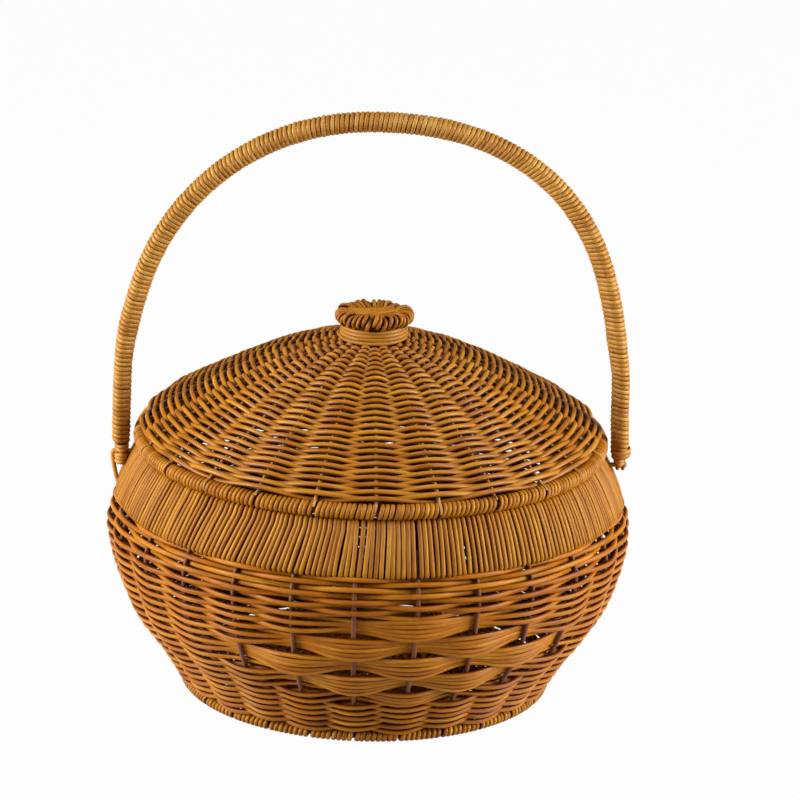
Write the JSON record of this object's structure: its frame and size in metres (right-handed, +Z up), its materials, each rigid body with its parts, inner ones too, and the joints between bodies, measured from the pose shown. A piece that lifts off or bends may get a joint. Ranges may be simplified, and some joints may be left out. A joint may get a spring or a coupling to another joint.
{
  "type": "storage basket",
  "caption": "Round woven storage basket with a wrapped collar, a domed lift-off lid with a looped knob, a diamond of wide weave on the front and a swing handle.",
  "frame": {"origin": "centre of the foot on the floor", "axes": "+Z up, the handle's arch lies in the XZ plane, the woven diamond faces -Y"},
  "size_m": [0.2996, 0.2994, 0.34],
  "materials": {
    "woven_cane": "satin",
    "binding_cane": "satin",
    "stake": "matte",
    "lid_rib": "satin",
    "core_rod": "matte"
  },
  "bodies": {
    "basket": {"foot_ring_wrap": "binding_cane", "foot_ring_core": "core_rod", "base_weave": "woven_cane", "stake_01": "stake", "stake_02": "stake", "stake_03": "stake", "stake_04": "stake", "stake_05": "stake", "stake_06": "stake", "stake_07": "stake", "stake_08": "stake", "stake_09": "stake", "stake_10": "stake", "stake_11": "stake", "stake_12": "stake", "stake_13": "stake", "stake_14": "stake", "stake_15": "stake", "stake_16": "stake", "stake_17": "stake", "stake_18": "stake", "stake_19": "stake", "stake_20": "stake", "stake_21": "stake", "stake_22": "stake", "stake_23": "stake", "stake_24": "stake", "stake_25": "stake", "stake_26": "stake", "lower_weave": "woven_cane", "middle_weave": "woven_cane", "upper_weave": "woven_cane", "pattern_course_1": "woven_cane", "pattern_course_2": "woven_cane", "pattern_course_3": "woven_cane", "pattern_course_4": "woven_cane", "pattern_course_5": "woven_cane", "collar_outer_wrap": "binding_cane", "collar_inner_wrap": "binding_cane", "collar_bottom_hoop": "core_rod", "collar_top_hoop": "core_rod", "ear_left": "binding_cane", "ear_right": "binding_cane"},
    "handle": {"handle_rod_front": "core_rod", "handle_rod_outer": "core_rod", "handle_rod_inner": "core_rod", "handle_wrap": "binding_cane", "handle_loop_left": "binding_cane", "handle_loop_right": "binding_cane"},
    "lid": {"lid_ribs": "lid_rib", "lid_weave": "woven_cane", "lid_rim_wrap": "binding_cane", "lid_rim_core": "core_rod", "knob_neck_winding": "binding_cane", "knob_core": "core_rod", "knob_ring": "core_rod", "knob_button_winding": "binding_cane", "knob_centre_weave": "woven_cane"}
  },
  "joints": [
    {"name": "handle_swing", "type": "hinge", "parent": "basket", "child": "handle", "pos_m": [0, 0, 0.1345], "axis": [1, 0, 0], "range_deg": [-90, 90]},
    {"name": "lid_lift", "type": "slide", "parent": "basket", "child": "lid", "axis": [0, 0, 1], "range_m": [0, 0.04]}
  ]
}
